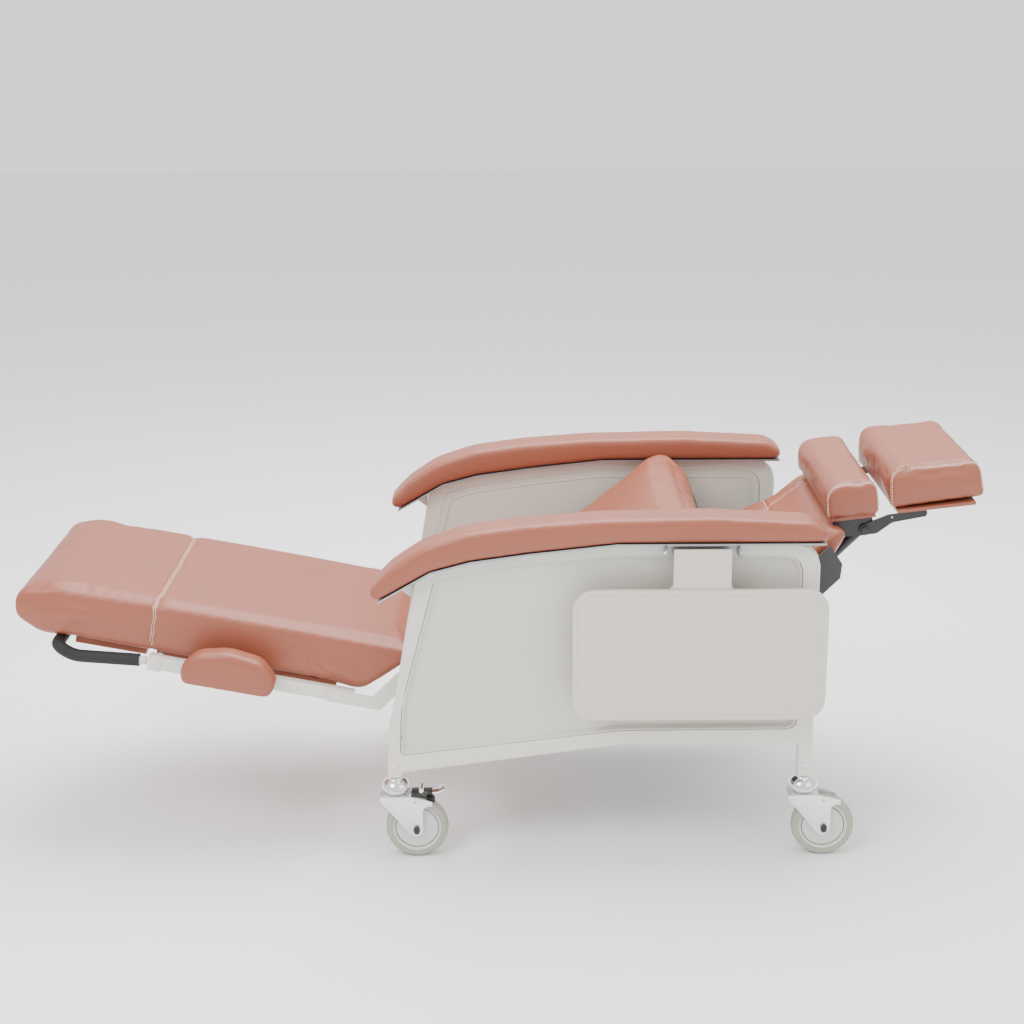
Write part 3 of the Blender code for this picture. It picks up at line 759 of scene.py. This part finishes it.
def sideTray():
    t = traySettings
    (x0, x1), (z0, z1), r = t["x"], t["z"], t["corner"]
    outline = (arcXZ((x0 + r, z0 + r), r, 180, 270, 12) + arcXZ((x1 - r, z0 + r), r, 270, 360, 12)
               + arcXZ((x1 - r, z1 - r), r, 0, 90, 12) + arcXZ((x0 + r, z1 - r), r, 90, 180, 12))
    bm = prismXZ(outline, t["face"], t["back"], 0)
    face = max((f for f in bm.faces if f.normal.y < -0.9), key=lambda f: f.calc_area())
    rim = list(face.edges)
    bmesh.ops.inset_region(bm, faces=[face], thickness=0.0090, depth=0.0)
    bmesh.ops.inset_region(bm, faces=[face], thickness=0.0012, depth=-0.0014)
    bmesh.ops.inset_region(bm, faces=[face], thickness=0.0014, depth=0.0006)
    bmesh.ops.bevel(bm, geom=rim, offset=0.0035, segments=4, profile=0.5, affect="EDGES", material=-1)
    tabOutline = [(0.326, 0.560), (0.454, 0.560), (0.454, 0.580), (0.4455, 0.590), (0.4455, 0.6615),
                  (0.3345, 0.6615), (0.3345, 0.590), (0.326, 0.580)]
    tab = prismXZ(tabOutline, -0.3735, -0.3605, 0.0015, 3)
    for vertex in tab.verts:
        if vertex.co.z < 0.585:
            vertex.co.y = max(vertex.co.y, -0.3668)
            vertex.co.y = min(vertex.co.y, -0.3605)
    board = newPiece("tray_board", bm, "tray_plastic", "tray", 40)
    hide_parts("side_tray")
    newPiece("tray_tab", tab, "tray_plastic", "tray", 40)
    for number, (x, outwards) in enumerate(((0.318, (-1, 0, 0)), (0.462, (1, 0, 0)))):
        domeBolt(f"tray_pin_head_{number}", (x, -0.366, 0.6555), outwards, 0.0048, 0.0035, "chrome", "root")


def roundTube(name, points, radius, corner, finish, body, nodes):
    path = [Vector(points[0])]
    for before, here, after in zip(points, points[1:], points[2:]):
        here = Vector(here)
        start = here + (Vector(before) - here).normalized() * corner
        end = here + (Vector(after) - here).normalized() * corner
        path += [start.lerp(here, k / 8).lerp(here.lerp(end, k / 8), k / 8) for k in range(9)]
    path.append(Vector(points[-1]))
    curve = bpy.data.curves.new(name, "CURVE")
    curve.dimensions = "3D"
    curve.bevel_depth = radius
    curve.bevel_resolution = 6
    curve.use_fill_caps = True
    line = curve.splines.new("POLY")
    line.points.add(len(path) - 1)
    for point, place in zip(line.points, path):
        point.co = (*place, 1)
    guide = bpy.data.objects.new(name, curve)
    bpy.context.scene.collection.objects.link(guide)
    mesh = meshFrom(guide)
    bpy.data.objects.remove(guide)
    bm = bmesh.new()
    bm.from_mesh(mesh)
    piece = newPiece(name, bm, finish, body, 50)
    if nodes:
        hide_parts(*nodes)
    return piece


def tubes():
    t = 0.165
    corners = [toWorld("back", "back", u, 0, y)
               for u, y in ((0.192, -t), (-0.24, -t), (-0.24, t), (0.192, t))]
    roundTube("back_tube", corners, 0.010, 0.03, "black_steel", "back", ["back_frame"])
    reach = [(-0.544, -0.1085), (-0.690, -0.125), (-0.726, -0.109)]
    near = [toWorld("legs", "knee", u, v, -0.250) for u, v in reach]
    far = [toWorld("legs", "knee", u, v, 0.250) for u, v in reach[::-1]]
    sleeve = [near[0].lerp(near[1], 0.09)] + near[1:] + far[:-1] + [far[-1].lerp(far[-2], 0.09)]
    roundTube("foot_bar_foam", sleeve, 0.0128, 0.018, "foam_grip", "foot", ["foot_bar"])
    for side, a, b in (("left", near[0], sleeve[0]), ("right", far[-1], sleeve[-1])):
        roundTube("foot_bar_end_" + side, [a, b], 0.0088, 0.01, "frame_white", "foot", [])


def wrappedBoards():
    for node, body in (("leg_board", "legrest"), ("foot_board", "foot"), ("neck_board", "neck"),
                       ("head_board", "headrest")):
        piece = newPiece(node + "_wrapped", copyNode(node), "vinyl", body)
        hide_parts(node)


wrappedBoards()
casters()
bolts()
sidePanels()
sideTray()
tubes()
print("casters, bolts, panels, tray and tubes made")


# ---- camera, light and floor

lamps = {"key": {"place": (-1.8, -2.4, 3.4), "power": 95, "size": 1.8},
         "fill": {"place": (2.6, -2.2, 2.2), "power": 25, "size": 2.5},
         "top": {"place": (0.2, 0.9, 3.4), "power": 210, "size": 3.0}}
worldStrength = 1.35


def stage():
    data = bpy.data.cameras.new("camera")
    data.lens = cameraSettings["lens"]
    data.sensor_width = 36
    data.clip_end = 50
    camera = bpy.data.objects.new("camera", data)
    bpy.context.scene.collection.objects.link(camera)
    turn = (Matrix.Rotation(math.radians(cameraSettings["yaw"]), 4, "Z")
            @ Matrix.Rotation(math.radians(90 - cameraSettings["pitch"]), 4, "X")
            @ Matrix.Rotation(math.radians(-cameraSettings["roll"]), 4, "Z"))
    camera.matrix_world = Matrix.Translation(cameraSettings["place"]) @ turn
    bpy.context.scene.camera = camera
    world = bpy.data.worlds.new("studio")
    world.use_nodes = True
    world.node_tree.nodes["Background"].inputs["Color"].default_value = (1, 1, 1, 1)
    world.node_tree.nodes["Background"].inputs["Strength"].default_value = worldStrength
    bpy.context.scene.world = world
    for name, settings in lamps.items():
        lamp = bpy.data.lights.new(name, "AREA")
        lamp.energy = settings["power"]
        lamp.size = settings["size"]
        light = bpy.data.objects.new(name, lamp)
        bpy.context.scene.collection.objects.link(light)
        light.location = settings["place"]
        aim = Vector((0, 0, 0.4)) - Vector(settings["place"])
        light.rotation_euler = aim.to_track_quat("-Z", "Y").to_euler()
    bm = bmesh.new()
    bmesh.ops.create_grid(bm, x_segments=1, y_segments=1, size=14)
    mesh = bpy.data.meshes.new("floor")
    bm.to_mesh(mesh)
    bm.free()
    floor = bpy.data.objects.new("floor", mesh)
    bpy.context.scene.collection.objects.link(floor)
    paper = bpy.data.materials.new("floor_paper")
    paper.use_nodes = True
    paper.node_tree.nodes["Principled BSDF"].inputs["Base Color"].default_value = (0.92, 0.92, 0.92, 1)
    paper.node_tree.nodes["Principled BSDF"].inputs["Roughness"].default_value = 0.9
    mesh.materials.append(paper)


stage()
